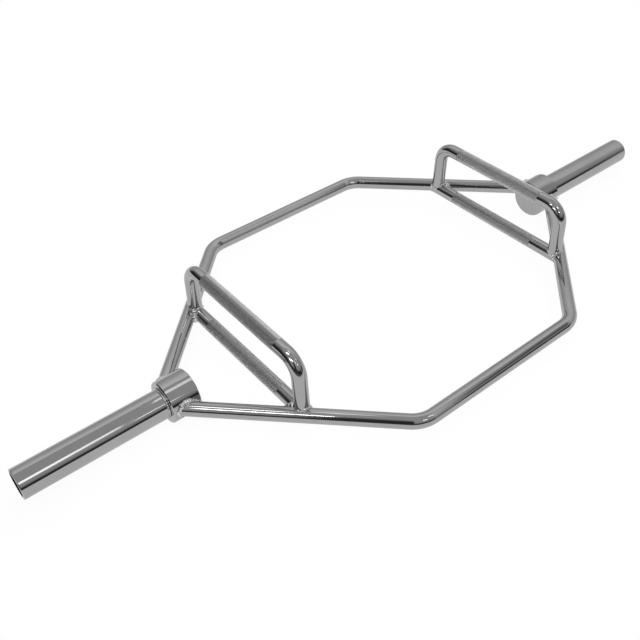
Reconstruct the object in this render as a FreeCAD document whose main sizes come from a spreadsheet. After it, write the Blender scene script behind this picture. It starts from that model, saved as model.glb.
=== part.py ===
# A hex trap bar: two bent frame bars hold a pair of low handles and a pair of raised handles,
# and both ends run into a collar with a plate sleeve. Every joint is welded, so nothing moves.
# The origin is on the floor under the middle, X runs along the sleeves and Z is up.
import FreeCAD
import Part
import Sketcher
import math
import os
from enum import IntEnum

# The sizes that can be set by themselves, in millimetres.
DRIVING_SIZES = (
    ("bar_diameter", 25, "round bar of the hexagonal frame"),
    ("corner_spacing", 350, "between the hexagon's corners along one long side"),
    ("frame_width", 580, "between the centrelines of the two long sides"),
    ("frame_bend", 52, "centreline radius of the frame's bends"),
    ("handle_diameter", 25, "round bar of all four handles"),
    ("handle_spacing", 600, "between the centrelines of the left and right handles"),
    ("handle_rise", 100, "raised handle's centreline above the frame's plane"),
    ("handle_bend", 32, "centreline radius of the raised handle's bends"),
    ("leg_inset", 14, "raised handle's leg, inward from the frame's centreline"),
    ("leg_lean", 4.5, "how far a leg leans inward on its way up"),
    ("cope_depth", 9, "how far a handle's end reaches into the bar that it is coped to"),
    ("collar_offset", 108, "from a handle's centreline to the collar's inner face"),
    ("collar_diameter", 72, "outside of the plate stop collar"),
    ("collar_length", 50, "length of the plate stop collar"),
    ("collar_chamfer", 1.5, "chamfer on both rims of the collar"),
    ("sleeve_diameter", 50, "outside of the sleeve, for plates with a 50 mm hole"),
    ("sleeve_length", 242, "sleeve from the collar to its open end"),
    ("sleeve_wall", 4.5, "wall of the sleeve's tube"),
    ("sleeve_chamfer", 1.2, "chamfer on the sleeve's outer rim"),
    ("spigot_step", 2, "shoulder from the sleeve down to its spigot"),
    ("spigot_length", 25, "spigot inside the collar's blind bore"),
    ("sleeve_weld", 3, "leg of the bead around the sleeve's root"),
    ("frame_weld", 4, "bead between a frame bar and a collar"),
    ("handle_weld", 3.5, "bead beside a handle's end"),
    ("foot_weld", 3, "bead on the frame and around a raised handle's foot"),
)

# The places that follow from those sizes.
DERIVED_SIZES = (
    ("axis_height", "collar_diameter / 2"),
    ("handle_place", "handle_spacing / 2"),
    ("corner_along", "corner_spacing / 2"),
    ("corner_across", "frame_width / 2"),
    ("collar_face", "handle_place + collar_offset"),
    ("collar_middle", "collar_face + collar_length / 2"),
    ("sleeve_root", "collar_face + collar_length"),
    ("sleeve_tip", "sleeve_root + sleeve_length"),
    ("run_slope", "(corner_across - axis_height) / (collar_middle - corner_along)"),
    ("bar_end_across", "collar_diameter / 4"),
    ("bar_end_along", "collar_middle + (axis_height - bar_end_across) / run_slope"),
    ("crossing", "corner_across - (handle_place - corner_along) * run_slope"),
    ("low_handle_half", "crossing - bar_diameter / 2 + cope_depth"),
    ("leg_foot", "crossing - leg_inset"),
    ("leg_top", "leg_foot - leg_lean"),
    ("leg_end_rise", "handle_diameter / 2 - cope_depth"),
    ("leg_end", "leg_foot - leg_lean * leg_end_rise / handle_rise"),
    ("sleeve_bore", "sleeve_diameter - 2 * sleeve_wall"),
    ("spigot_diameter", "sleeve_diameter - 2 * spigot_step"),
    ("bar_bead_diameter", "bar_diameter + 2 * foot_weld"),
    ("collar_bead_diameter", "bar_diameter + 2 * frame_weld"),
    ("low_bead_diameter", "handle_diameter + 2 * handle_weld"),
    ("leg_bead_diameter", "handle_diameter + 2 * foot_weld"),
)

SIDES = (("left", -1), ("right", 1))
ENDS = (("front", -1), ("rear", 1))
X_AXIS = FreeCAD.Vector(1, 0, 0)
Y_AXIS = FreeCAD.Vector(0, 1, 0)
Z_AXIS = FreeCAD.Vector(0, 0, 1)


class Own(IntEnum):
    """The numbers that a sketch has for its own origin and axes."""

    ORIGIN = -1
    ACROSS = -1
    UP = -2


class At(IntEnum):
    """The numbers that a sketch has for the points of a line, an arc or a circle."""

    START = 1
    END = 2
    CENTRE = 3


doc = FreeCAD.newDocument("hex_trap_bar")


def fill_sheet():
    """Writes every size into the sheet under its own alias."""
    sheet = doc.addObject("Spreadsheet::Sheet", "Sizes")
    for row, (alias, size, note) in enumerate(DRIVING_SIZES, start=1):
        sheet.set(f"A{row}", note)
        sheet.set(f"B{row}", str(size))
        sheet.setAlias(f"B{row}", alias)
    for row, (alias, formula) in enumerate(DERIVED_SIZES, start=len(DRIVING_SIZES) + 1):
        sheet.set(f"B{row}", f"={formula}")
        sheet.setAlias(f"B{row}", alias)
    doc.recompute()
    return sheet


sizes = fill_sheet()


# Sketches and bodies

def origin_plane(body, role):
    """Finds one of a body's own origin planes."""
    return next(feature for feature in body.Origin.OriginFeatures if feature.Role == role)


def new_sketch(body, role, name):
    """Starts a sketch on one of a body's origin planes."""
    sketch = body.newObject("Sketcher::SketchObject", name)
    sketch.AttachmentSupport = (origin_plane(body, role), [""])
    sketch.MapMode = "FlatFace"
    return sketch


def dimension(sketch, kind, references, alias):
    """Adds a dimension that is bound to one size of the sheet."""
    index = sketch.addConstraint(Sketcher.Constraint(kind, *references, sizes.get(alias)))
    sketch.setExpression(f"Constraints[{index}]", f"Sizes.{alias}")


def hold_point(sketch, point, across, up):
    """Holds a point at two sizes from the sketch's origin, or on an axis where a size is None."""
    for kind, axis, alias in (("DistanceX", Own.UP, across), ("DistanceY", Own.ACROSS, up)):
        if alias is None:
            sketch.addConstraint(Sketcher.Constraint("PointOnObject", *point, axis))
        else:
            dimension(sketch, kind, (Own.ORIGIN, At.START, *point), alias)


def add_circle(sketch, diameter, across=None, up=None):
    """Draws a dimensioned circle."""
    centre = FreeCAD.Vector(sizes.get(across) if across else 0, sizes.get(up) if up else 0, 0)
    index = sketch.addGeometry(Part.Circle(centre, Z_AXIS, sizes.get(diameter) / 2), False)
    hold_point(sketch, (index, At.CENTRE), across, up)
    dimension(sketch, "Diameter", (index,), diameter)


def add_half_path(sketch, corner, end, bend):
    """Draws half of a bent bar's centreline: a level run, a bend below the corner and a run to the end."""
    corner_point = FreeCAD.Vector(*[sizes.get(alias) for alias in corner])
    end_point = FreeCAD.Vector(*[sizes.get(alias) for alias in end])
    radius = sizes.get(bend)
    run = end_point - corner_point
    turn = math.atan2(-run.y, run.x)
    tangent = radius * math.tan(turn / 2)
    bend_start = corner_point - FreeCAD.Vector(tangent, 0)
    bend_end = corner_point + run.normalize() * tangent
    circle = Part.Circle(bend_start - FreeCAD.Vector(0, radius), Z_AXIS, radius)
    level = sketch.addGeometry(Part.LineSegment(FreeCAD.Vector(0, corner_point.y), bend_start), False)
    arc = sketch.addGeometry(Part.ArcOfCircle(circle, math.pi / 2 - turn, math.pi / 2), False)
    slope = sketch.addGeometry(Part.LineSegment(bend_end, end_point), False)
    apex = sketch.addGeometry(Part.Point(corner_point), True)
    sketch.addConstraint(Sketcher.Constraint("PointOnObject", level, At.START, Own.UP))
    sketch.addConstraint(Sketcher.Constraint("Horizontal", level))
    sketch.addConstraint(Sketcher.Constraint("Tangent", level, At.END, arc, At.END))
    sketch.addConstraint(Sketcher.Constraint("Tangent", arc, At.START, slope, At.START))
    sketch.addConstraint(Sketcher.Constraint("PointOnObject", apex, At.START, level))
    sketch.addConstraint(Sketcher.Constraint("PointOnObject", apex, At.START, slope))
    dimension(sketch, "Radius", (arc,), bend)
    hold_point(sketch, (apex, At.START), *corner)
    hold_point(sketch, (slope, At.END), *end)


def bent_bar(name, diameter, path, section):
    """Sweeps a round section along half a path and mirrors it in the plane of the section."""
    body = doc.addObject("PartDesign::Body", name)
    spine = new_sketch(body, path["plane"], f"{name}_path")
    add_half_path(spine, path["corner"], path["end"], path["bend"])
    profile = new_sketch(body, section["plane"], f"{name}_section")
    add_circle(profile, diameter, section["across"], section["up"])
    doc.recompute()
    pipe = body.newObject("PartDesign::AdditivePipe", f"{name}_half")
    pipe.Profile = profile
    pipe.Spine = (spine, ["Edge1", "Edge2", "Edge3"])
    doc.recompute()
    mirror = body.newObject("PartDesign::Mirrored", f"{name}_whole")
    mirror.Originals = [pipe]
    mirror.MirrorPlane = (origin_plane(body, section["plane"]), [""])
    body.Tip = mirror
    return body


def place(part, along, height, turn=0):
    """Puts a part at a height, at a signed place along X, turned about Z."""
    part.Placement.Rotation = FreeCAD.Rotation(Z_AXIS, turn)
    if along:
        part.setExpression("Placement.Base.x", along)
    part.setExpression("Placement.Base.z", height)


def side_place(side, alias):
    """Gives a place along X on the left or the right side."""
    return f"{side} * Sizes.{alias}"


def side_turn(side):
    """Gives the turn that points a part's own X axis outward."""
    return 0 if side > 0 else 180


# Joints: coped ends and weld beads

def rod(name, radius, length, direction):
    """Makes a plain rod at the height of the frame's plane, out from the middle line."""
    cylinder = doc.addObject("Part::Cylinder", name)
    cylinder.setExpression("Radius", radius)
    cylinder.setExpression("Height", length)
    cylinder.Placement.Rotation = FreeCAD.Rotation(Z_AXIS, direction)
    cylinder.setExpression("Placement.Base.z", "Sizes.axis_height")
    return cylinder


def axle_rod(name, radius, length, side):
    """Makes a rod along the sleeves' axis, from the middle out to one side."""
    return rod(name, radius, length, X_AXIS * side)


def cut_away(name, base, tools):
    """Takes every tool out of the base, one after the other."""
    for step, tool in enumerate(tools, start=1):
        cut = doc.addObject("Part::Cut", name if step == len(tools) else f"{name}_cut_{step}")
        cut.Base = base
        cut.Tool = tool
        base = cut
    return base


def shared_space(name, first, second):
    """Keeps what two parts share."""
    common = doc.addObject("Part::Common", name)
    common.Base = first
    common.Tool = second
    return common


def space_above_frame():
    """Fills the space above the frame's plane, where the raised handles' feet are welded."""
    space = doc.addObject("Part::Box", "space_above_frame")
    space.setExpression("Length", "2 * Sizes.sleeve_tip")
    space.setExpression("Width", "Sizes.frame_width")
    space.setExpression("Height", "Sizes.handle_rise")
    space.setExpression("Placement.Base.x", "-Sizes.sleeve_tip")
    space.setExpression("Placement.Base.y", "-Sizes.corner_across")
    space.setExpression("Placement.Base.z", "Sizes.axis_height")
    return space


def joined(name, first, second):
    """Joins two parts."""
    fuse = doc.addObject("Part::Fuse", name)
    fuse.Base = first
    fuse.Tool = second
    return fuse


# Collars and sleeves

def collar(name, side):
    """A turned plate stop with chamfered rims and a blind bore for the sleeve's spigot."""
    body = doc.addObject("PartDesign::Body", name)
    disc = new_sketch(body, "YZ_Plane", f"{name}_disc")
    add_circle(disc, "collar_diameter")
    pad = body.newObject("PartDesign::Pad", f"{name}_blank")
    pad.Profile = disc
    pad.setExpression("Length", "Sizes.collar_length")
    doc.recompute()
    bore = new_sketch(body, "YZ_Plane", f"{name}_bore_circle")
    bore.setExpression("AttachmentOffset.Base.z", "Sizes.collar_length")
    add_circle(bore, "spigot_diameter")
    pocket = body.newObject("PartDesign::Pocket", f"{name}_bore")
    pocket.Profile = bore
    pocket.setExpression("Length", "Sizes.spigot_length")
    doc.recompute()
    rims = outer_rims(pocket, "collar_diameter")
    chamfer_rims(body, pocket, rims, "collar_chamfer")
    place(body, side_place(side, "collar_face"), "Sizes.axis_height", side_turn(side))
    return body


def outer_rims(feature, diameter):
    """Names the round edges of one diameter, the nearest to the body's origin first."""
    rims = []
    for index, edge in enumerate(feature.Shape.Edges, start=1):
        is_round = isinstance(edge.Curve, Part.Circle)
        if is_round and abs(edge.Curve.Radius - sizes.get(diameter) / 2) < Part.Precision.confusion():
            rims.append((edge.CenterOfMass.x, f"Edge{index}"))
    return [name for place_along, name in sorted(rims)]


def chamfer_rims(body, feature, rims, size):
    """Breaks the named rims of a body's last feature."""
    chamfer = body.newObject("PartDesign::Chamfer", f"{body.Name}_chamfer")
    chamfer.Base = (feature, rims)
    chamfer.setExpression("Size", f"Sizes.{size}")


def sleeve(name, side):
    """A hollow plate sleeve, open at its tip, with a turned-down spigot that seats in the collar.

    The shoulder between the two stands off the collar by one bead, so plates slide clear of the weld.
    """
    body = doc.addObject("PartDesign::Body", name)
    wall = new_sketch(body, "YZ_Plane", f"{name}_wall_rings")
    wall.setExpression("AttachmentOffset.Base.z", "Sizes.sleeve_weld")
    add_circle(wall, "sleeve_diameter")
    add_circle(wall, "sleeve_bore")
    tube = body.newObject("PartDesign::Pad", f"{name}_tube")
    tube.Profile = wall
    tube.setExpression("Length", "Sizes.sleeve_length - Sizes.sleeve_weld")
    doc.recompute()
    seat = new_sketch(body, "YZ_Plane", f"{name}_spigot_rings")
    seat.setExpression("AttachmentOffset.Base.z", "Sizes.sleeve_weld")
    add_circle(seat, "spigot_diameter")
    add_circle(seat, "sleeve_bore")
    spigot = body.newObject("PartDesign::Pad", f"{name}_spigot")
    spigot.Profile = seat
    spigot.Reversed = True
    spigot.setExpression("Length", "Sizes.sleeve_weld + Sizes.spigot_length")
    doc.recompute()
    tip_rim = outer_rims(spigot, "sleeve_diameter")[-1]
    chamfer_rims(body, spigot, [tip_rim], "sleeve_chamfer")
    place(body, side_place(side, "sleeve_root"), "Sizes.axis_height", side_turn(side))
    return body


def sleeve_weld(name, side):
    """The bead that fills the neck between the collar's outer face and the sleeve's shoulder."""
    cone = doc.addObject("Part::Cone", f"{name}_cone")
    cone.setExpression("Radius1", "Sizes.sleeve_diameter / 2 + Sizes.sleeve_weld")
    cone.setExpression("Radius2", "Sizes.sleeve_diameter / 2")
    cone.setExpression("Height", "Sizes.sleeve_weld")
    cone.Placement.Rotation = FreeCAD.Rotation(Z_AXIS, X_AXIS * side)
    cone.setExpression("Placement.Base.x", side_place(side, "sleeve_root"))
    cone.setExpression("Placement.Base.z", "Sizes.axis_height")
    neck = axle_rod(f"{name}_neck", "Sizes.spigot_diameter / 2", "Sizes.sleeve_tip", side)
    return cut_away(name, cone, [neck])


# Frame bars and handles

FRAME_PATH = {
    "plane": "XY_Plane",
    "corner": ("corner_along", "corner_across"),
    "end": ("bar_end_along", "bar_end_across"),
    "bend": "frame_bend",
}
FRAME_SECTION = {"plane": "YZ_Plane", "across": "corner_across", "up": None}
HANDLE_PATH = {
    "plane": "YZ_Plane",
    "corner": ("leg_top", "handle_rise"),
    "end": ("leg_end", "leg_end_rise"),
    "bend": "handle_bend",
}
HANDLE_SECTION = {"plane": "XZ_Plane", "across": None, "up": "handle_rise"}


def frame_bar(name, diameter, end):
    """One bent bar along the front or the rear, from inside one collar to inside the other."""
    bar = bent_bar(name, diameter, FRAME_PATH, FRAME_SECTION)
    place(bar, None, "Sizes.axis_height", 0 if end > 0 else 180)
    return bar


def raised_bar(name, diameter, side):
    """One staple-shaped bar that stands over a low handle."""
    bar = bent_bar(name, diameter, HANDLE_PATH, HANDLE_SECTION)
    place(bar, side_place(side, "handle_place"), "Sizes.axis_height")
    return bar


def low_rod(name, diameter, length, side, end):
    """Half of a low handle, from the middle to the front or the rear."""
    half = rod(name, f"Sizes.{diameter} / 2", f"Sizes.{length}", Y_AXIS * end)
    half.setExpression("Placement.Base.x", side_place(side, "handle_place"))
    return half


# Assembly

collar_core = {}
collar_bead = {}
nodes = []
for side_name, side in SIDES:
    core_radius = "Sizes.collar_diameter / 2"
    bead_radius = "Sizes.collar_diameter / 2 + Sizes.frame_weld"
    collar_core[side] = axle_rod(f"{side_name}_collar_core", core_radius, "Sizes.sleeve_tip", side)
    collar_bead[side] = axle_rod(f"{side_name}_collar_bead", bead_radius, "Sizes.sleeve_tip", side)
    nodes.append(collar(f"{side_name}_collar", side))
    nodes.append(sleeve(f"{side_name}_sleeve", side))
    nodes.append(sleeve_weld(f"{side_name}_sleeve_weld", side))

bars = {}
for end_name, end in ENDS:
    blank = frame_bar(f"{end_name}_bar_blank", "bar_diameter", end)
    bars[end] = cut_away(f"{end_name}_frame_bar", blank, list(collar_core.values()))
    nodes.append(bars[end])
    wide_bar = frame_bar(f"{end_name}_collar_bead", "collar_bead_diameter", end)
    for side_name, side in SIDES:
        name = f"{side_name}_{end_name}_collar_weld"
        bead = shared_space(f"{name}_blank", wide_bar, collar_bead[side])
        nodes.append(cut_away(name, bead, [collar_core[side], bars[end]]))

upper_half = space_above_frame()
bar_beads = {end: frame_bar(f"{end_name}_bar_bead", "bar_bead_diameter", end) for end_name, end in ENDS}
for side_name, side in SIDES:
    halves = [low_rod(f"{side_name}_{end_name}_low_half", "handle_diameter", "low_handle_half", side, end)
              for end_name, end in ENDS]
    low_blank = joined(f"{side_name}_low_blank", *halves)
    low_handle = cut_away(f"{side_name}_low_handle", low_blank, list(bars.values()))
    staple = raised_bar(f"{side_name}_staple", "handle_diameter", side)
    raised_handle = cut_away(f"{side_name}_raised_handle", staple, [*bars.values(), low_handle])
    leg_bead = raised_bar(f"{side_name}_leg_bead", "leg_bead_diameter", side)
    nodes.extend([low_handle, raised_handle])
    for end_name, end in ENDS:
        corner = f"{side_name}_{end_name}"
        neighbours = [bars[end], low_handle, raised_handle]
        low_bead = low_rod(f"{corner}_low_bead", "low_bead_diameter", "crossing", side, end)
        ground = joined(f"{corner}_weld_ground", bar_beads[end], low_bead)
        bead = shared_space(f"{corner}_foot_weld_blank", leg_bead, ground)
        foot_weld = cut_away(f"{corner}_raised_handle_weld", bead, neighbours)
        bead = shared_space(f"{corner}_low_weld_blank", low_bead, bar_beads[end])
        low_weld = cut_away(f"{corner}_low_handle_weld", bead, [*neighbours, upper_half])
        nodes.extend([low_weld, foot_weld])

doc.recompute()

# Every object is tested before anything is written.
for item in doc.Objects:
    if "Invalid" in item.State or "Error" in item.State:
        raise RuntimeError(f"{item.Name} could not be built")
for node in nodes:
    if node.Shape.isNull() or not node.Shape.isValid() or len(node.Shape.Solids) != 1:
        raise RuntimeError(f"{node.Label} is not one sound solid")

os.makedirs("parts", exist_ok=True)
for node in nodes:
    node.Shape.exportStep(f"parts/{node.Label}.step")
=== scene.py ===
import math
import random

import bmesh
import bpy
from mathutils import Matrix, Vector


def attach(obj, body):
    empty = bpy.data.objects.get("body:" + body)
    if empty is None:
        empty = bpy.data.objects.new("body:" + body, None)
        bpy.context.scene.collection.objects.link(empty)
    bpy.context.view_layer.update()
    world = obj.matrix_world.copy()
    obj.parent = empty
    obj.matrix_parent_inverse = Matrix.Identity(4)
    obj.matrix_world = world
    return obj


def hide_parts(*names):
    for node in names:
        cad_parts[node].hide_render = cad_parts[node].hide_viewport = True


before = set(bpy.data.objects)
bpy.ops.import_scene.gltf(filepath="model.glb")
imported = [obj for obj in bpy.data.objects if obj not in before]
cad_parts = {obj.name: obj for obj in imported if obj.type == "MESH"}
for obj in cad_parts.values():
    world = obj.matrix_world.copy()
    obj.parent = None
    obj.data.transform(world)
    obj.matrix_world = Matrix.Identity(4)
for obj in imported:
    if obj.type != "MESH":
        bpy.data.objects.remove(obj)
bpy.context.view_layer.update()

# Frame bars
# Two lengths of 25 mm round steel bar, each cold bent at two corners and plated with bright chrome.
# They lie level as the long sides of the hexagon, and run into the collars, where they are coped and welded.
MM = 0.001
BAR_RADIUS = 12.5 * MM
BAR_SIDES = 72
AXIS_HEIGHT = 36 * MM
CORNER_ALONG = 175 * MM
CORNER_ACROSS = 290 * MM
FRAME_BEND = 52 * MM
BEND_STEPS = 28
COLLAR_RADIUS = 36 * MM
COLLAR_FACE = 408 * MM
COLLAR_LENGTH = 50 * MM
COLLAR_MIDDLE = COLLAR_FACE + COLLAR_LENGTH / 2
SLEEVE_ROOT = COLLAR_FACE + COLLAR_LENGTH
BAR_END_ACROSS = COLLAR_RADIUS / 2
RUN_TURN = math.atan2(CORNER_ACROSS - COLLAR_RADIUS, COLLAR_MIDDLE - CORNER_ALONG)
RUN = Vector((math.cos(RUN_TURN), -math.sin(RUN_TURN), 0))
COLLAR_COPE_SIDES = 192
QUARTER_TURN = math.pi / 2
SMOOTH_ANGLE = math.radians(20)
SEAM_GAP = 0.002 * MM
TOUCHING = 0.01 * MM


def leave_nothing_selected():
    if bpy.context.object and bpy.context.object.mode == "EDIT":
        bpy.ops.object.mode_set(mode="OBJECT")
    bpy.ops.object.select_all(action="DESELECT")


def name_piece(name):
    """Names the object that was just added and puts its place into its mesh."""
    piece = bpy.context.object
    piece.name = name
    piece.data.name = name
    bpy.ops.object.transform_apply(location=True, rotation=True, scale=True)
    return piece


def extrude_by(offset):
    bpy.ops.mesh.extrude_region_move(TRANSFORM_OT_translate={"value": tuple(offset)})


def close_ends():
    """Fills the open ends of the piece in edit mode and turns its faces outward."""
    bpy.ops.mesh.select_all(action="SELECT")
    bpy.ops.mesh.fill_holes(sides=0)
    bpy.ops.mesh.normals_make_consistent(inside=False)


def cut_by_last(piece):
    """Takes the object that was just added out of a piece, then throws it away."""
    tool = bpy.context.object
    leave_nothing_selected()
    piece.select_set(True)
    bpy.context.view_layer.objects.active = piece
    cut = piece.modifiers.new("cope", "BOOLEAN")
    cut.operation = "DIFFERENCE"
    cut.solver = "EXACT"
    cut.object = tool
    bpy.ops.object.modifier_apply(modifier=cut.name)
    bpy.data.objects.remove(tool)


def finish_mesh(piece):
    """Closes the seams, turns the faces outward and shades the round faces smooth."""
    bpy.ops.object.mode_set(mode="EDIT")
    bpy.ops.mesh.select_all(action="SELECT")
    bpy.ops.mesh.remove_doubles(threshold=SEAM_GAP)
    bpy.ops.mesh.normals_make_consistent(inside=False)
    bpy.ops.object.mode_set(mode="OBJECT")
    bpy.ops.object.shade_smooth_by_angle(angle=SMOOTH_ANGLE)


def copy_piece(piece, name):
    """Copies a piece with a mesh of its own and leaves the copy in edit mode, selected all over."""
    leave_nothing_selected()
    piece.select_set(True)
    bpy.context.view_layer.objects.active = piece
    bpy.ops.object.duplicate(linked=False)
    twin = bpy.context.object
    twin.name = name
    twin.data.name = name
    bpy.ops.object.mode_set(mode="EDIT")
    bpy.ops.mesh.select_all(action="SELECT")
    return twin


def turned_copy(piece, name):
    """Copies a piece half a turn round the object's middle."""
    twin = copy_piece(piece, name)
    bpy.ops.transform.rotate(value=math.pi, orient_axis="Z", center_override=(0, 0, 0))
    leave_nothing_selected()
    return twin


class Wire:
    """A value that runs between the nodes of a finish; sums on it add Math nodes."""

    def __init__(self, tree, socket):
        self.tree = tree
        self.socket = socket

    def node(self, kind, settings=None, sockets=None, output=0):
        """Adds a node: its type, its settings, then the values or wires of its sockets."""
        made = self.tree.nodes.new(kind)
        for name, value in (settings or {}).items():
            if name == "stops":
                self.set_stops(made.color_ramp.elements, value)
            else:
                setattr(made, name, value)
        for name, value in (sockets or {}).items():
            if isinstance(value, Wire):
                self.tree.links.new(value.socket, made.inputs[name])
            else:
                made.inputs[name].default_value = value
        return Wire(self.tree, made.outputs[output])

    @staticmethod
    def set_stops(elements, stops):
        while len(elements) < len(stops):
            elements.new(1)
        for element, (position, shade) in zip(elements, stops):
            element.position = position
            element.color = (shade, shade, shade, 1)

    def sum(self, operation, first, second):
        return self.node("ShaderNodeMath", {"operation": operation}, {0: first, 1: second})

    def __add__(self, other):
        return self.sum("ADD", self, other)

    def __radd__(self, other):
        return self.sum("ADD", other, self)

    def __sub__(self, other):
        return self.sum("SUBTRACT", self, other)

    def __rsub__(self, other):
        return self.sum("SUBTRACT", other, self)

    def __mul__(self, other):
        return self.sum("MULTIPLY", self, other)

    def __rmul__(self, other):
        return self.sum("MULTIPLY", other, self)

    def measure(self, operation):
        """Works out a sum of one value, such as its size without its sign."""
        return self.node("ShaderNodeMath", {"operation": operation}, {0: self})

    def axis(self, number):
        """Gives a place's distance along X, Y or Z, numbered from 0."""
        return self.node("ShaderNodeSeparateXYZ", None, {"Vector": self}, output=number)

    def toward(self, direction):
        """Measures how far a place or a direction lies along another direction."""
        settings = {"operation": "DOT_PRODUCT"}
        return self.node("ShaderNodeVectorMath", settings, {0: self, 1: direction}, output=1)

    def step(self, low, high):
        """Rises smoothly from 0 to 1 between two values."""
        settings = {"interpolation_type": "SMOOTHSTEP"}
        return self.node("ShaderNodeMapRange", settings, {"Value": self, "From Min": low, "From Max": high})

    def ramp(self, *stops):
        return self.node("ShaderNodeValToRGB", {"stops": stops}, {"Fac": self})

    def mix(self, first, second):
        """Mixes two colours, with this value as the share of the second."""
        return self.node("ShaderNodeMix", {"data_type": "RGBA"}, {0: self, 6: first, 7: second}, output=2)

    def stretched(self, scale):
        """Scales a place along its axes before a pattern reads it."""
        return self.node("ShaderNodeMapping", None, {"Vector": self, "Scale": scale})

    def noise(self, scale, detail=3.0, roughness=0.55):
        sockets = {"Vector": self, "Scale": scale, "Detail": detail, "Roughness": roughness}
        return self.node("ShaderNodeTexNoise", None, sockets)

    def bump(self, height, strength, depth):
        """Roughens the surface by a height, on top of the normal that this wire carries."""
        sockets = {"Height": height, "Strength": strength, "Distance": depth}
        if self.socket.type == "VECTOR" and self.socket.node.type == "BUMP":
            sockets["Normal"] = self
        return self.node("ShaderNodeBump", None, sockets)


def new_finish(name):
    """Starts a metal finish and gives its material, its shader and the wire of its object coordinates."""
    finish = bpy.data.materials.new(name)
    finish.use_nodes = True
    tree = finish.node_tree
    shader = tree.nodes["Principled BSDF"]
    shader.inputs["Metallic"].default_value = 1
    place = Wire(tree, None).node("ShaderNodeTexCoord", output=3)
    return finish, shader, place


def connect(shader, sockets):
    for name, wire in sockets.items():
        wire.tree.links.new(wire.socket, shader.inputs[name])


CHROME_BRIGHT = (0.5, 0.5, 0.505, 1)
CHROME_DULL = (0.4, 0.4, 0.405, 1)
BAR_POLISH = 0.06
BAR_WAVINESS = 0.12
RIPPLE_DEPTH = 0.35 * MM
SCRATCH_DEPTH = 0.01 * MM


def smudges(place, scale=14):
    """Shows where hands have left the plating a little dull."""
    return place.noise(scale, 4).ramp((0.35, 0), (0.72, 1))


def pitting(place):
    """Scatters fine dull specks over the plating."""
    return place.noise(520, 2, 0.7).ramp((0.62, 0), (0.7, 1))


def ripples(place):
    """Gives the faint waves that drawing leaves in the steel under the plating."""
    return place.noise(46, 2)


def bar_chrome(name):
    """Bright plating on drawn bar: faint ripples under it, smudges, specks and fine scratches on it."""
    finish, shader, place = new_finish(name)
    smudge = smudges(place)
    pits = pitting(place)
    scratches = place.stretched((0.2, 1, 1)).noise(700, 2, 0.6).ramp((0.62, 0), (0.7, 1))
    shade = smudge * 0.35 + pits * 1.1 + scratches * 0.2
    colour = shade.mix(CHROME_BRIGHT, CHROME_DULL)
    rough = BAR_POLISH + smudge * 0.035 + pits * 0.12 + scratches * 0.06
    normal = place.bump(ripples(place), BAR_WAVINESS, RIPPLE_DEPTH).bump(scratches, 0.1, SCRATCH_DEPTH)
    connect(shader, {"Base Color": colour, "Roughness": rough, "Normal": normal})
    return finish


def dress(piece, finish, slot, *nodes):
    """Gives a piece its finish and lets it ride in place of the plain solids that it stands for."""
    piece.data.materials.clear()
    piece.data.materials.append(finish)
    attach(piece, "root")
    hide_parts(*nodes)


leave_nothing_selected()
bend_tangent = FRAME_BEND * math.tan(RUN_TURN / 2)
level_run = CORNER_ALONG - bend_tangent
bend_middle = Vector((level_run, CORNER_ACROSS - FRAME_BEND, AXIS_HEIGHT))
slope_length = (CORNER_ACROSS - BAR_END_ACROSS) / math.sin(RUN_TURN) - bend_tangent
bpy.ops.mesh.primitive_circle_add(
    vertices=BAR_SIDES,
    radius=BAR_RADIUS,
    location=(0, CORNER_ACROSS, AXIS_HEIGHT),
    rotation=(0, QUARTER_TURN, 0),
)
rear_bar = name_piece("rear_frame_bar_chromed")
bpy.ops.object.mode_set(mode="EDIT")
bpy.ops.mesh.select_all(action="SELECT")
extrude_by((level_run, 0, 0))
bpy.ops.mesh.spin(steps=BEND_STEPS, angle=RUN_TURN, center=bend_middle, axis=(0, 0, 1))
extrude_by(RUN * slope_length)
bpy.ops.object.mode_set(mode="OBJECT")
mirror = rear_bar.modifiers.new("other half", "MIRROR")
mirror.merge_threshold = TOUCHING
bpy.ops.object.modifier_apply(modifier=mirror.name)
bpy.ops.object.mode_set(mode="EDIT")
close_ends()
leave_nothing_selected()
bpy.ops.mesh.primitive_cylinder_add(
    vertices=COLLAR_COPE_SIDES,
    radius=COLLAR_RADIUS,
    depth=2 * (SLEEVE_ROOT + BAR_RADIUS),
    location=(0, 0, AXIS_HEIGHT),
    rotation=(0, QUARTER_TURN, 0),
)
cut_by_last(rear_bar)
finish_mesh(rear_bar)
front_bar = turned_copy(rear_bar, "front_frame_bar_chromed")
frame_chrome = bar_chrome("frame_chrome")
dress(front_bar, frame_chrome, "frame_chrome", "front_frame_bar")
dress(rear_bar, frame_chrome, "frame_chrome", "rear_frame_bar")

# Plate stop collars
# Short turned lengths of 72 mm steel bar, chromed, with chamfered rims and a blind bore for the spigot.
# The frame bars are welded to their sides, and the sleeves to their outer faces.
COLLAR_SIDES = 160
COLLAR_CHAMFER = 1.5 * MM
SPIGOT_RADIUS = 23 * MM
SPIGOT_LENGTH = 25 * MM
COLLAR_SCUFFING = 0.3
WORN_EDGE = (0.6, 0.6, 0.6, 1)
WEAR_REACH = 4 * MM
WEAR_FADED = 3 * MM
WEAR_FULL = 1 * MM
TURNED_POLISH = 0.05
TURNED_WAVINESS = 0.1
RING_DEPTH = 0.02 * MM


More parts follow.
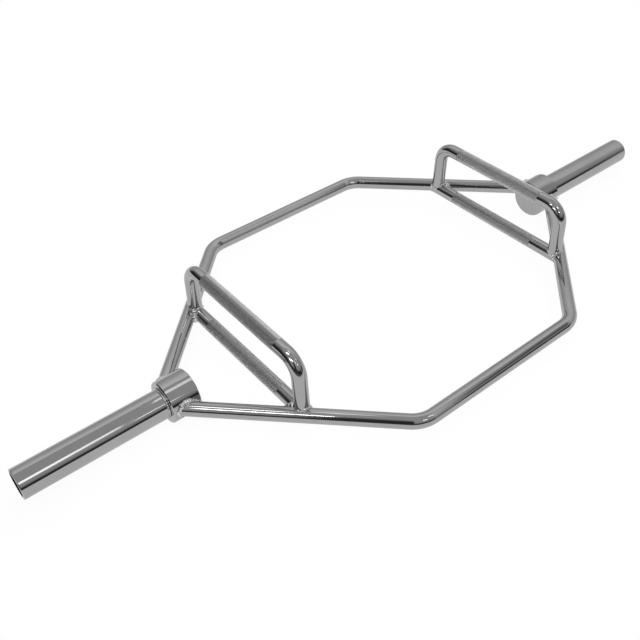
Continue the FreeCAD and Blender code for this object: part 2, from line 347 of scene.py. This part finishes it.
def turned_chrome(name, radius, rims, scuffing):
    """Plating over turned steel: rings from the lathe, scuffs along it, bright worn steel at the rims."""
    finish, shader, place = new_finish(name)
    smudge = smudges(place)
    pits = pitting(place)
    rings = place.stretched((1, 0.01, 0.01)).noise(1400, 3)
    patches = place.noise(30, 3).ramp((0.42, 0), (0.62, 1))
    scuffs = place.stretched((0.03, 1, 1)).noise(800, 3, 0.6).ramp((0.56, 0), (0.68, 1)) * patches
    ripple = ripples(place.stretched((0.12, 1, 1)))
    along = place.axis(0).measure("ABSOLUTE")
    across = place.axis(1)
    above = place.axis(2) - AXIS_HEIGHT
    distance = (across * across + above * above).measure("SQRT")
    outer = distance.step(radius - WEAR_FADED, radius - WEAR_FULL)
    off_rims = 1
    for rim in rims:
        off_rims = off_rims * (along - rim).measure("ABSOLUTE").step(0, WEAR_REACH)
    worn = (1 - off_rims) * outer * place.noise(90, 2).ramp((0.35, 0), (0.65, 1))
    shade = smudge * 0.35 + pits * 1.1 + scuffs * scuffing
    rough = TURNED_POLISH + smudge * 0.035 + pits * 0.12 + scuffs * 0.1 + worn * 0.1
    normal = place.bump(ripple, TURNED_WAVINESS, RIPPLE_DEPTH).bump(rings, 0.15, RING_DEPTH)
    colour = (worn * 0.7).mix(shade.mix(CHROME_BRIGHT, CHROME_DULL), WORN_EDGE)
    connect(shader, {"Base Color": colour, "Roughness": rough, "Normal": normal})
    return finish


def pick(piece, kind, wanted):
    """Selects the edges or faces of a piece in edit mode that are wanted, and nothing else."""
    bpy.ops.mesh.select_mode(type=kind)
    bpy.ops.mesh.select_all(action="DESELECT")
    cage = bmesh.from_edit_mesh(piece.data)
    for item in {"EDGE": cage.edges, "FACE": cage.faces}[kind]:
        if wanted(item):
            item.select_set(True)
    cage.select_flush_mode()
    bmesh.update_edit_mesh(piece.data)


def on_face_of(along):
    """Tests whether an edge or a face lies flat at a place along X."""
    return lambda item: all(abs(vert.co.x - along) < TOUCHING for vert in item.verts)


leave_nothing_selected()
bpy.ops.mesh.primitive_cylinder_add(
    vertices=COLLAR_SIDES,
    radius=COLLAR_RADIUS,
    depth=COLLAR_LENGTH,
    location=(COLLAR_MIDDLE, 0, AXIS_HEIGHT),
    rotation=(0, QUARTER_TURN, 0),
)
right_collar = name_piece("right_collar_chromed")
bpy.ops.object.mode_set(mode="EDIT")
pick(right_collar, "EDGE", lambda edge: on_face_of(COLLAR_FACE)(edge) or on_face_of(SLEEVE_ROOT)(edge))
bpy.ops.mesh.bevel(offset=COLLAR_CHAMFER, offset_type="OFFSET", segments=1)
pick(right_collar, "FACE", on_face_of(SLEEVE_ROOT))
bpy.ops.mesh.inset(thickness=COLLAR_RADIUS - COLLAR_CHAMFER - SPIGOT_RADIUS, depth=0)
extrude_by((-SPIGOT_LENGTH, 0, 0))
finish_mesh(right_collar)
left_collar = turned_copy(right_collar, "left_collar_chromed")
collar_rims = (COLLAR_FACE, SLEEVE_ROOT)
collar_chrome = turned_chrome("collar_chrome", COLLAR_RADIUS, collar_rims, COLLAR_SCUFFING)
dress(left_collar, collar_chrome, "collar_chrome", "left_collar")
dress(right_collar, collar_chrome, "collar_chrome", "right_collar")

# Plate sleeves
# Steel tube of 50 mm with a 4.5 mm wall, open at its tip, chromed and scuffed along its length by plates.
# A turned-down spigot sits in the collar's bore, and a bead round the root holds it.
SLEEVE_SIDES = 144
SLEEVE_RADIUS = 25 * MM
SLEEVE_BORE = 20.5 * MM
SLEEVE_LENGTH = 242 * MM
SLEEVE_TIP = SLEEVE_ROOT + SLEEVE_LENGTH
SLEEVE_CHAMFER = 1.6 * MM
SLEEVE_SCUFFING = 0.5
ROOT_BEAD = 3 * MM

leave_nothing_selected()
shoulder = SLEEVE_ROOT + ROOT_BEAD
bpy.ops.mesh.primitive_cylinder_add(
    vertices=SLEEVE_SIDES,
    radius=SLEEVE_RADIUS,
    depth=SLEEVE_TIP - shoulder,
    location=((SLEEVE_TIP + shoulder) / 2, 0, AXIS_HEIGHT),
    rotation=(0, QUARTER_TURN, 0),
)
right_sleeve = name_piece("right_sleeve_chromed")
bpy.ops.object.mode_set(mode="EDIT")
pick(right_sleeve, "FACE", on_face_of(shoulder))
bpy.ops.mesh.inset(thickness=SLEEVE_RADIUS - SPIGOT_RADIUS, depth=0)
extrude_by((-ROOT_BEAD - SPIGOT_LENGTH, 0, 0))
bpy.ops.mesh.inset(thickness=SPIGOT_RADIUS - SLEEVE_BORE, depth=0)
bpy.ops.mesh.delete(type="FACE")
pick(right_sleeve, "EDGE", on_face_of(SLEEVE_TIP))
bpy.ops.mesh.bevel(offset=SLEEVE_CHAMFER, offset_type="OFFSET", segments=2)
pick(right_sleeve, "FACE", on_face_of(SLEEVE_TIP))
bpy.ops.mesh.inset(thickness=SLEEVE_RADIUS - SLEEVE_CHAMFER - SLEEVE_BORE, depth=0)
bpy.ops.mesh.delete(type="FACE")
pick(right_sleeve, "EDGE", lambda edge: edge.is_boundary)
bpy.ops.mesh.bridge_edge_loops()
finish_mesh(right_sleeve)
left_sleeve = turned_copy(right_sleeve, "left_sleeve_chromed")
sleeve_chrome = turned_chrome("sleeve_chrome", SLEEVE_RADIUS, (SLEEVE_TIP,), SLEEVE_SCUFFING)
dress(left_sleeve, sleeve_chrome, "sleeve_chrome", "left_sleeve")
dress(right_sleeve, sleeve_chrome, "sleeve_chrome", "right_sleeve")

# Low handles
# Straight 25 mm round bar between the front and rear frame bars, with 200 mm of diamond knurl for the hands.
# The knurl is rolled in before plating: its crests come level with the plain bar, and its grooves are
# rougher and painted dark as shade.
# The ends are coped to the round of the frame bars and welded to them.
ENDS = (("front", -1), ("rear", 1))
HANDLE_PLACE = 300 * MM
HANDLE_SIDES = 56
KNURL_HALF = 100 * MM
KNURL_ROWS = 76
KNURL_FLOOR = 12.14 * MM
KNURL_EDGE = 0.1 * MM
GROOVE_DEPTH = 0.28 * MM
GROOVE_FLANK = 0.15 * MM
CREST_RISE = 0.09 * MM
CREST_FLANK = 0.22 * MM
COPE_DEPTH = 9 * MM
HANDLE_COPE_SIDES = 96
CROSSING = CORNER_ACROSS - (HANDLE_PLACE - CORNER_ALONG) * math.tan(RUN_TURN)
LOW_HALF = CROSSING - BAR_RADIUS + COPE_DEPTH


def knurled_grip(name, along, height):
    """Models a tube of low pyramids with grooves between, along Y, and leaves it open in edit mode."""
    leave_nothing_selected()
    bpy.ops.mesh.primitive_cylinder_add(
        vertices=HANDLE_SIDES,
        radius=KNURL_FLOOR,
        depth=2 * KNURL_HALF,
        end_fill_type="NOTHING",
        location=(along, 0, height),
        rotation=(QUARTER_TURN, 0, 0),
    )
    grip = name_piece(name)
    bpy.ops.object.mode_set(mode="EDIT")
    pick(grip, "EDGE", lambda edge: not edge.is_boundary)
    bpy.ops.mesh.subdivide(number_cuts=KNURL_ROWS - 1)
    corners = len(bmesh.from_edit_mesh(grip.data).verts)

    def between_corners(edge):
        return not edge.is_boundary and all(vert.index < corners for vert in edge.verts)

    bpy.ops.mesh.select_all(action="SELECT")
    bpy.ops.mesh.poke(offset=0)
    pick(grip, "EDGE", between_corners)
    bpy.ops.mesh.dissolve_edges(use_verts=False)
    bpy.ops.mesh.select_all(action="SELECT")
    bpy.ops.mesh.inset(thickness=GROOVE_FLANK, depth=GROOVE_DEPTH, use_individual=True)
    bpy.ops.mesh.inset(thickness=CREST_FLANK, depth=CREST_RISE, use_individual=True)
    return grip


def open_rim(along_y):
    """Tests whether an edge is on the open rim at a place along Y."""

    def on_rim(edge):
        middle = (edge.verts[0].co.y + edge.verts[1].co.y) / 2
        return edge.is_boundary and abs(middle - along_y) < KNURL_EDGE

    return on_rim


def step_to_plain_bar(grip, along, end, height):
    """Opens the rim of the knurl at one end out to the plain bar's radius, and leaves it selected."""
    pick(grip, "EDGE", open_rim(end * KNURL_HALF))
    extrude_by((0, 0, 0))
    growth = BAR_RADIUS / KNURL_FLOOR
    hub = (along, end * KNURL_HALF, height)
    bpy.ops.transform.resize(value=(growth, 1, growth), center_override=hub)


def cope_to_frame(piece, side, end):
    """Cuts the end of a handle to the round of the frame bar that carries it, and closes the mesh."""
    leave_nothing_selected()
    bpy.ops.mesh.primitive_cylinder_add(
        vertices=HANDLE_COPE_SIDES,
        radius=BAR_RADIUS,
        depth=8 * BAR_RADIUS,
        location=(side * HANDLE_PLACE, end * CROSSING, AXIS_HEIGHT),
        rotation=(0, QUARTER_TURN, -side * end * RUN_TURN),
    )
    cut_by_last(piece)
    finish_mesh(piece)


def mirrored_copy(piece, name):
    """Copies a piece from the left to the right."""
    twin = copy_piece(piece, name)
    bpy.ops.transform.resize(value=(-1, 1, 1), center_override=(0, 0, 0))
    bpy.ops.mesh.normals_make_consistent(inside=False)
    leave_nothing_selected()
    return twin


KNURL_PLATED = (0.86, 0.86, 0.865, 1)
# Grease smudges on the knurl; on the left raised grip's left flank this colour also stands as painted shade.
KNURL_GREASE_AND_SHADE = (0.64, 0.64, 0.64, 1)
# Painted shade: the dark colour of the knurl's grooves.
KNURL_GROOVE_SHADE = (0.12, 0.12, 0.12, 1)
PLATED_FLANK = (KNURL_PLATED, KNURL_GROOVE_SHADE)
FLANK_EDGE = (-0.5 * MM, 1.5 * MM)
GRAIN_DEPTH = 0.02 * MM


def handle_chrome(name, height, left_flank, right_flank):
    """Plating on a handle at a height: bright on the plain ends, satin on the knurl, with painted shade in
    the grooves.

    Each flank of the knurl has two colours of its own, one for its crests and one for its grooves; on the
    raised grips they paint a highlight on one flank and shade on the other.
    """
    finish, shader, place = new_finish(name)
    smudge = smudges(place, 18)
    grain = place.noise(450, 2, 0.7).ramp((0.45, 0), (0.75, 1))
    grip = 1 - place.axis(1).measure("ABSOLUTE").step(KNURL_HALF - KNURL_EDGE, KNURL_HALF + KNURL_EDGE)
    across = place.axis(0) - place.axis(0).measure("SIGN") * HANDLE_PLACE
    above = place.axis(2) - height
    radius = (across * across + above * above).measure("SQRT")
    # The grooves, told from the crests by radius, take darker colours as painted shade.
    land = radius.step(KNURL_FLOOR + 0.6 * GROOVE_DEPTH, KNURL_FLOOR + GROOVE_DEPTH)
    plain = (smudge * 0.35).mix(CHROME_BRIGHT, CHROME_DULL)
    # Painted light and shade: the two sides of the knurl along X take their own colours.
    flank = across.step(*FLANK_EDGE)
    crests = flank.mix(left_flank[0], right_flank[0])
    grooves = flank.mix(left_flank[1], right_flank[1])
    knurl = (land * (1 - grain * 0.3)).mix(grooves, (smudge * 0.3).mix(crests, KNURL_GREASE_AND_SHADE))
    rough = BAR_POLISH + smudge * 0.035 + grip * (0.4 - land * 0.24 + smudge * 0.06)
    normal = place.bump(ripples(place), BAR_WAVINESS, RIPPLE_DEPTH).bump(grain, 0.1, GRAIN_DEPTH)
    connect(shader, {"Base Color": grip.mix(plain, knurl), "Roughness": rough, "Normal": normal})
    return finish


left_low = knurled_grip("left_low_handle_knurled", -HANDLE_PLACE, AXIS_HEIGHT)
for _, end in ENDS:
    step_to_plain_bar(left_low, -HANDLE_PLACE, end, AXIS_HEIGHT)
    extrude_by((0, end * (LOW_HALF - KNURL_HALF), 0))
close_ends()
for _, end in ENDS:
    cope_to_frame(left_low, -1, end)
right_low = mirrored_copy(left_low, "right_low_handle_knurled")
low_handle_chrome = handle_chrome("low_handle_chrome", AXIS_HEIGHT, PLATED_FLANK, PLATED_FLANK)
dress(left_low, low_handle_chrome, "handle_chrome", "left_low_handle")
dress(right_low, low_handle_chrome, "handle_chrome", "right_low_handle")

# Raised handles
# The same knurled bar bent like a staple, so the hands hold it 100 mm above the frame.
# Its legs lean in a little towards the top, and their feet are welded to the frame bar and the low handle.
# The right flank of both grips is painted light, crests and grooves, as a highlight; the left flank of the
# right grip has painted highlights on its crests, and the left flank of the left grip is painted darker as
# shade.
HANDLE_RISE = 100 * MM
HANDLE_BEND = 32 * MM
LEG_INSET = 14 * MM
LEG_LEAN = 4.5 * MM
LEG_FOOT = CROSSING - LEG_INSET
LEG_TOP = LEG_FOOT - LEG_LEAN
LEG_TURN = math.atan2(HANDLE_RISE, LEG_LEAN)
LEG_END_RISE = BAR_RADIUS - COPE_DEPTH
GRIP_HEIGHT = AXIS_HEIGHT + HANDLE_RISE
# Painted highlights on the raised grips' knurl: bright crests, and bright grooves on their right flanks.
KNURL_HIGHLIGHT = (0.97, 0.97, 0.975, 1)
GROOVE_HIGHLIGHT = (0.6, 0.6, 0.6, 1)
SHADED_FLANK = (KNURL_GREASE_AND_SHADE, KNURL_GROOVE_SHADE)
HIGHLIT_CREST_FLANK = (KNURL_HIGHLIGHT, KNURL_GROOVE_SHADE)
HIGHLIT_FLANK = (KNURL_HIGHLIGHT, GROOVE_HIGHLIGHT)

left_raised = knurled_grip("left_raised_handle_knurled", -HANDLE_PLACE, GRIP_HEIGHT)
leg_tangent = HANDLE_BEND * math.tan(LEG_TURN / 2)
leg_length = (HANDLE_RISE - LEG_END_RISE) / math.sin(LEG_TURN) - leg_tangent
for _, end in ENDS:
    step_to_plain_bar(left_raised, -HANDLE_PLACE, end, GRIP_HEIGHT)
    extrude_by((0, end * (LEG_TOP - leg_tangent - KNURL_HALF), 0))
    bpy.ops.mesh.spin(
        steps=BEND_STEPS,
        angle=end * LEG_TURN,
        center=(-HANDLE_PLACE, end * (LEG_TOP - leg_tangent), GRIP_HEIGHT - HANDLE_BEND),
        axis=(1, 0, 0),
    )
    extrude_by((0, end * math.cos(LEG_TURN) * leg_length, -math.sin(LEG_TURN) * leg_length))
close_ends()
for _, end in ENDS:
    cope_to_frame(left_raised, -1, end)
leave_nothing_selected()
bpy.ops.mesh.primitive_cylinder_add(
    vertices=HANDLE_COPE_SIDES,
    radius=BAR_RADIUS,
    depth=2 * LOW_HALF,
    location=(-HANDLE_PLACE, 0, AXIS_HEIGHT),
    rotation=(QUARTER_TURN, 0, 0),
)
cut_by_last(left_raised)
finish_mesh(left_raised)
right_raised = mirrored_copy(left_raised, "right_raised_handle_knurled")
left_raised_chrome = handle_chrome("left_raised_chrome", GRIP_HEIGHT, SHADED_FLANK, HIGHLIT_FLANK)
right_raised_chrome = handle_chrome("right_raised_chrome", GRIP_HEIGHT, HIGHLIT_CREST_FLANK, HIGHLIT_FLANK)
dress(left_raised, left_raised_chrome, "handle_chrome", "left_raised_handle")
dress(right_raised, right_raised_chrome, "handle_chrome", "right_raised_handle")

# Weld beads
# Steel beads laid by hand where the frame bars meet the collars, where the handles meet the frame,
# and round the sleeves' roots. Each is a run of overlapping lumps, plated with the rest, bright but uneven.
SIDES = (("left", -1), ("right", 1))
BEAD_PITCH = 3 * MM
ROOT_PITCH = 2 * MM
COLLAR_LUMPS = (3 * MM, 0.6 * MM)
LOW_HANDLE_LUMPS = (3.5 * MM, 0.4 * MM)
FOOT_LUMPS = (3.9 * MM, 0.35 * MM)
ROOT_LUMPS = (1.3 * MM, 0.12 * MM)
LUMP_SIZES = (0.8, 1.2)
LUMP_SCALES = (0.85, 1.15)
BEAD_SINK = 0.8 * MM
BEAD_VOXEL = 0.7 * MM
RIM_MARGIN = 1.5 * MM
BEAD_TAPER = 0.8
BEAD_OVERLAP = 0.75
GAP_FILL = 6 * MM
GAP_ACROSS = 0.8
GAP_UP = 0.6
FOOT_TUCK = 0.75
UPWARD = Vector((0, 0, 1))
BEAD_SEED = 41


def first_hit(start, direction, axis_point, axis_direction, radius):
    """Gives how far a straight line runs before it meets a round bar, or None where it passes by."""
    offset = start - axis_point
    offset = offset - axis_direction * offset.dot(axis_direction)
    across = direction - axis_direction * direction.dot(axis_direction)
    spread = across.dot(across)
    lean = offset.dot(across)
    root = lean * lean - spread * (offset.dot(offset) - radius * radius)
    if root < 0:
        return None
    return (-lean - math.sqrt(root)) / spread


def round_the_bar(point, direction, radius, pitch):
    """Gives the straight lines along a bar's surface, one for each lump of a bead round it."""
    sideways = direction.orthogonal().normalized()
    upward = direction.cross(sideways)
    count = round(2 * math.pi * radius / pitch)
    turns = [2 * math.pi * step / count for step in range(count)]
    return [point + (sideways * math.cos(turn) + upward * math.sin(turn)) * radius for turn in turns]


def lay_bead(name, spots, lumps, draw, broad=None):
    """Lays a lump on every spot, each of its own size and a little astray, and melts them together.

    The lumps are given as their radius and how far they stray. A direction for broad gives larger lumps on
    that side and smaller ones on the other. A lump too small to reach its neighbours is made larger and laid
    deeper, so that the bead is whole and stands no prouder.
    """
    size, spread = lumps
    leave_nothing_selected()
    hub = sum(spots, Vector()) / len(spots)
    for step, spot in enumerate(spots):
        stray = Vector([draw.gauss(0, spread) for _ in range(3)])
        lump = size * draw.uniform(*LUMP_SIZES)
        inward = (hub - spot).normalized()
        if broad:
            lump = lump * (1 - BEAD_TAPER * inward.dot(broad))
        gap = max((spot - spots[step - 1]).length, (spot - spots[(step + 1) % len(spots)]).length)
        deeper = max(0, BEAD_OVERLAP * gap - lump)
        flat = [draw.uniform(*LUMP_SCALES) for _ in range(3)]
        bpy.ops.mesh.primitive_ico_sphere_add(
            subdivisions=2,
            radius=lump + deeper,
            location=spot + stray + inward * deeper,
            scale=flat,
        )
        if step == 0:
            bead = name_piece(name)
            bpy.ops.object.mode_set(mode="EDIT")
    bpy.ops.object.mode_set(mode="OBJECT")
    melt = bead.modifiers.new("melt", "REMESH")
    melt.mode = "VOXEL"
    melt.voxel_size = BEAD_VOXEL
    bpy.ops.object.modifier_apply(modifier=melt.name)
    relax = bead.modifiers.new("relax", "SMOOTH")
    relax.factor = 0.5
    relax.iterations = 3
    bpy.ops.object.modifier_apply(modifier=relax.name)
    finish_mesh(bead)
    bpy.ops.object.shade_smooth()
    return bead


# Painted highlight: the colour of the tops of the beads.
BEAD_PAINTED_HIGHLIGHT = (0.82, 0.82, 0.825, 1)
LUMP_DEPTH = 0.5 * MM


def weld_chrome_finish():
    """Plating over rough bead: pitted lumps, with painted light making it bright on top and painted shade
    making it dull below.
    """
    finish, shader, place = new_finish("weld_chrome")
    lumps = place.noise(320, 3)
    pits = place.noise(1500, 2, 0.7).ramp((0.62, 0), (0.76, 1))
    # Painted light and shade: the bead's colour runs from dull below the bar's axis to bright on top, by
    # height alone.
    painted_top_light = place.axis(2).step(AXIS_HEIGHT - BAR_RADIUS, AXIS_HEIGHT)
    plating = painted_top_light.mix(CHROME_DULL, BEAD_PAINTED_HIGHLIGHT)
    shade = lumps * 0.3 + pits * 0.4
    rough = 0.16 + lumps * 0.12 + pits * 0.2
    normal = place.bump(lumps, 0.35, LUMP_DEPTH)
    colour = shade.mix(plating, CHROME_DULL)
    connect(shader, {"Base Color": colour, "Roughness": rough, "Normal": normal})
    return finish


weld_chrome = weld_chrome_finish()
draw = random.Random(BEAD_SEED)
for side_name, side in SIDES:
    for end_name, end in ENDS:
        corner = f"{side_name}_{end_name}"
        run = Vector((side * RUN.x, end * RUN.y, 0))
        run_start = Vector((side * CORNER_ALONG, end * CORNER_ACROSS, AXIS_HEIGHT))
        collar_axis = (Vector((0, 0, AXIS_HEIGHT)), Vector((1, 0, 0)), COLLAR_RADIUS)
        frame_axis = (run_start, run, BAR_RADIUS)
        low_axis = (Vector((side * HANDLE_PLACE, 0, AXIS_HEIGHT)), Vector((0, 1, 0)), BAR_RADIUS)

        spots = []
        for line in round_the_bar(run_start, run, BAR_RADIUS, BEAD_PITCH):
            spot = line + run * first_hit(line, run, *collar_axis)
            along = min(max(abs(spot.x), COLLAR_FACE + RIM_MARGIN), SLEEVE_ROOT - RIM_MARGIN)
            spots.append(Vector((side * along, spot.y, spot.z)))
        bead = lay_bead(f"{corner}_collar_weld_bead", spots, COLLAR_LUMPS, draw, UPWARD)
        dress(bead, weld_chrome, "weld_chrome", f"{corner}_collar_weld")

        outward = Vector((0, end, 0))
        spots = []
        for line in round_the_bar(low_axis[0], outward, BAR_RADIUS - BEAD_SINK, BEAD_PITCH):
            reach = first_hit(line, outward, *frame_axis)
            spot = line + outward * (CROSSING if reach is None else reach)
            fill = max(0, side * (line - low_axis[0]).x / BAR_RADIUS)
            spots.append(spot + (run - outward).normalized() * GAP_FILL * fill)
        gap_side = Vector((GAP_ACROSS * side, 0, GAP_UP))
        bead = lay_bead(f"{corner}_low_handle_weld_bead", spots, LOW_HANDLE_LUMPS, draw, gap_side)
        dress(bead, weld_chrome, "weld_chrome", f"{corner}_low_handle_weld")

        leg_top = Vector((side * HANDLE_PLACE, end * LEG_TOP, GRIP_HEIGHT))
        downward = Vector((0, end * LEG_LEAN, -HANDLE_RISE)).normalized()
        foot = (HANDLE_RISE - LEG_END_RISE) / -downward.z
        spots = []
        for line in round_the_bar(leg_top, downward, BAR_RADIUS - BEAD_SINK, BEAD_PITCH):
            hits = [first_hit(line, downward, *frame_axis), first_hit(line, downward, *low_axis), foot]
            spot = line + downward * min(hit for hit in hits if hit is not None)
            tucked = low_axis[0].x + (spot.x - low_axis[0].x) * FOOT_TUCK
            spots.append(Vector((tucked, spot.y, spot.z)))
        bead = lay_bead(f"{corner}_raised_handle_weld_bead", spots, FOOT_LUMPS, draw)
        dress(bead, weld_chrome, "weld_chrome", f"{corner}_raised_handle_weld")

    outward = Vector((side, 0, 0))
    root = Vector((side * (SLEEVE_ROOT + ROOT_BEAD / 2), 0, AXIS_HEIGHT))
    spots = round_the_bar(root, outward, SLEEVE_RADIUS, ROOT_PITCH)
    bead = lay_bead(f"{side_name}_sleeve_weld_bead", spots, ROOT_LUMPS, draw, UPWARD)
    dress(bead, weld_chrome, "weld_chrome", f"{side_name}_sleeve_weld")

# Studio
# A pale floor, a light wall behind, and on the camera's side a dim room with screens, a curtain and lamps.
# The floor is white to the camera, pale in the chrome, and keeps part of the object's shadow.
FLOOR_HALF = 12
FLOOR_GREY = (0.8, 0.8, 0.8, 1)
FLOOR_WHITE = 0.8
FLOOR_GLOW = 1.16
PAPER_EDGE = 0.9
PAPER_FADE = 0.06
PAPER_MIRRORED = 0.66
BARE_MIRRORED = 0.05
TOWARD_CAMERA = (-0.686, -0.728, 0)
SCREEN_FADE = 0.03
FRONT_FADE = 0.1
WALL_LEAN = 0.47
WALL_EDGE = (-0.02, 0.04)
DARK_CURTAIN = (-0.84, 0.55, 0)
BLACK_SCREEN = (-0.65, -0.76, 0)
PALE_SCREEN = (0.36, 0.53)
LAMP_BACKS = (0.53, 0.69)

leave_nothing_selected()
bpy.ops.mesh.primitive_plane_add(size=2 * FLOOR_HALF, location=(0, 0, 0))
floor = bpy.context.object
floor.name = "floor"
floor_white = bpy.data.materials.new("floor_white")
floor_white.use_nodes = True
tree = floor_white.node_tree
tree.nodes.clear()
spot = Wire(tree, None).node("ShaderNodeTexCoord", output=3)
paper = 1 - spot.toward(TOWARD_CAMERA).step(PAPER_EDGE - PAPER_FADE, PAPER_EDGE + PAPER_FADE)
rays = tree.nodes.new("ShaderNodeLightPath").outputs
plainly_seen = Wire(tree, rays["Is Camera Ray"]) + Wire(tree, rays["Is Transmission Ray"])
mirrored = Wire(tree, rays["Is Glossy Ray"])
shown = plainly_seen + mirrored * (paper * PAPER_MIRRORED + BARE_MIRRORED)
lit = spot.node("ShaderNodeBsdfDiffuse", None, {"Color": FLOOR_GREY})
glow = spot.node("ShaderNodeEmission", None, {"Color": shown, "Strength": FLOOR_GLOW})
glow_share = (plainly_seen + mirrored) * FLOOR_WHITE
both = spot.node("ShaderNodeMixShader", None, {0: glow_share, 1: lit, 2: glow})
tree.links.new(both.socket, tree.nodes.new("ShaderNodeOutputMaterial").inputs["Surface"])
floor.data.materials.append(floor_white)

world = bpy.data.worlds.new("studio")
bpy.context.scene.world = world
world.use_nodes = True
tree = world.node_tree
background = tree.nodes["Background"]
aim = Wire(tree, None).node("ShaderNodeTexCoord", output=0)
height = aim.axis(2)
slope = height.measure("ARCSINE") * (1 / math.pi) + 0.5


def by_slope(*stops):
    """Shades the room by the angle above the level, given as pairs of degrees and brightness."""
    return slope.ramp(*[(degrees / 180 + 0.5, shade) for degrees, shade in stops])


def lies_toward(direction, far, near):
    """Gives 1 within an angle of a level direction and 0 beyond a wider angle, both in degrees."""
    level = aim.node("ShaderNodeVectorMath", {"operation": "MULTIPLY"}, {0: aim, 1: (1, 1, 0)})
    level = level.node("ShaderNodeVectorMath", {"operation": "NORMALIZE"}, {0: level})
    return level.toward(direction).step(math.cos(math.radians(far)), math.cos(math.radians(near)))


def hangs_between(low, high):
    """Gives 1 toward the front between two shares of the way right, and 0 elsewhere."""
    right = aim.axis(0)
    past_low = right.step(low - SCREEN_FADE, low + SCREEN_FADE)
    past_high = right.step(high - SCREEN_FADE, high + SCREEN_FADE)
    return (past_low - past_high) * (0 - aim.axis(1)).step(0, FRONT_FADE)


wall = by_slope((0, 0.42), (14, 0.46), (30, 0.55), (44, 0.7), (56, 0.8), (90, 0.8))
camera_side = by_slope((0, 0.02), (9, 0.03), (14, 0.2), (19, 0.33), (28, 0.42), (45, 0.45), (90, 0.45))
curtain = by_slope((0, 0.02), (24, 0.03), (34, 0.16), (48, 0.38), (62, 0.45))
screen = by_slope((0, 0.04), (11, 0.04), (28, 0.03), (42, 0.055), (52, 0.2), (62, 0.44))
backs = by_slope((0, 0.02), (9, 0.03), (14, 0.06), (18, 0.3), (26, 0.36), (30, 0.14), (38, 0.1), (54, 0.43))
pale = by_slope((0, 0.22), (6, 0.28), (15, 0.35), (23, 0.42), (30, 0.53), (38, 0.62), (60, 0.7))
beyond = 0 - aim.toward(TOWARD_CAMERA) - height * WALL_LEAN
room = beyond.step(*WALL_EDGE).mix(camera_side, wall)
room = hangs_between(*PALE_SCREEN).mix(room, pale)
room = hangs_between(*LAMP_BACKS).mix(room, backs)
room = lies_toward(DARK_CURTAIN, far=52, near=25).mix(room, curtain)
room = lies_toward(BLACK_SCREEN, far=13, near=7).mix(room, screen)
rays = tree.nodes.new("ShaderNodeLightPath").outputs
shown = Wire(tree, rays["Is Camera Ray"]).mix(room, (1, 1, 1, 1))
tree.links.new(shown.socket, background.inputs["Color"])

ACROSS_VIEW = Vector((0.728, -0.686, 0))
ALONG_SLEEVES = Vector((1, 0, 0))
LEFT_LAMPS = (("left_inner", (-0.55, -0.07, 0.80), 0.24), ("left_outer", (-0.80, -0.40, 0.73), 0.37))
RIGHT_LAMPS = (("right_inner", (0.23, -0.72, 1.03), 0.20), ("right_outer", (-0.12, -1.18, 0.90), 0.20))
LEFT_AIM = Vector((0, 0, 0))
RIGHT_AIM = Vector((0.25, 0, 0))
STRIP_WIDTH = 0.07
SLEEVE_LAMP = (-0.505, -0.64, 0.73)
SLEEVE_LAMP_SIZE = (0.3, 0.22)
SLEEVE_AIM = Vector((-0.535, 0, AXIS_HEIGHT))
OVERHEAD_LAMP = (-0.19, -0.05, 0.85)
OVERHEAD_LAMP_SIZE = (0.18, 0.2)
OVERHEAD_AIM = Vector((-0.19, -0.05, 0))


def hang_lamp(name, place, target, lengthwise, size, fan, glow):
    """Hangs a soft lamp with a grid before it, one side along a direction and its face to a target.

    The fan is the angle that the grid lets through, in degrees, and the glow is watts for each square metre.
    """
    back = (Vector(place) - target).normalized()
    along = (lengthwise - back * lengthwise.dot(back)).normalized()
    turn = Matrix((along, back.cross(along), back)).transposed().to_euler()
    bpy.ops.object.light_add(type="AREA", location=place, rotation=turn)
    lamp = bpy.context.object
    lamp.name = f"{name}_lamp"
    lamp.data.shape = "RECTANGLE"
    lamp.data.size, lamp.data.size_y = size
    lamp.data.spread = math.radians(fan)
    lamp.data.energy = glow * size[0] * size[1]
    lamp.visible_camera = False


for lamp_name, lamp_place, lamp_length in LEFT_LAMPS:
    hang_lamp(lamp_name, lamp_place, LEFT_AIM, ACROSS_VIEW, (lamp_length, STRIP_WIDTH), fan=72, glow=5)
for lamp_name, lamp_place, lamp_length in RIGHT_LAMPS:
    hang_lamp(lamp_name, lamp_place, RIGHT_AIM, ACROSS_VIEW, (lamp_length, STRIP_WIDTH), fan=64, glow=3.5)
hang_lamp("sleeve", SLEEVE_LAMP, SLEEVE_AIM, ALONG_SLEEVES, SLEEVE_LAMP_SIZE, fan=36, glow=0.21)
hang_lamp("overhead", OVERHEAD_LAMP, OVERHEAD_AIM, ALONG_SLEEVES, OVERHEAD_LAMP_SIZE, fan=120, glow=1.1)

CAMERA_PLACE = (-0.7777, -0.8259, 0.9690)
CAMERA_TURN = (47.825, 1.471, -38.907)
CAMERA_LENS = 45.148
CAMERA_SENSOR = 36
bpy.ops.object.camera_add(location=CAMERA_PLACE, rotation=[math.radians(turn) for turn in CAMERA_TURN])
camera = bpy.context.object
camera.data.lens = CAMERA_LENS
camera.data.sensor_width = CAMERA_SENSOR
bpy.context.scene.camera = camera
bpy.context.scene.view_settings.view_transform = "Standard"
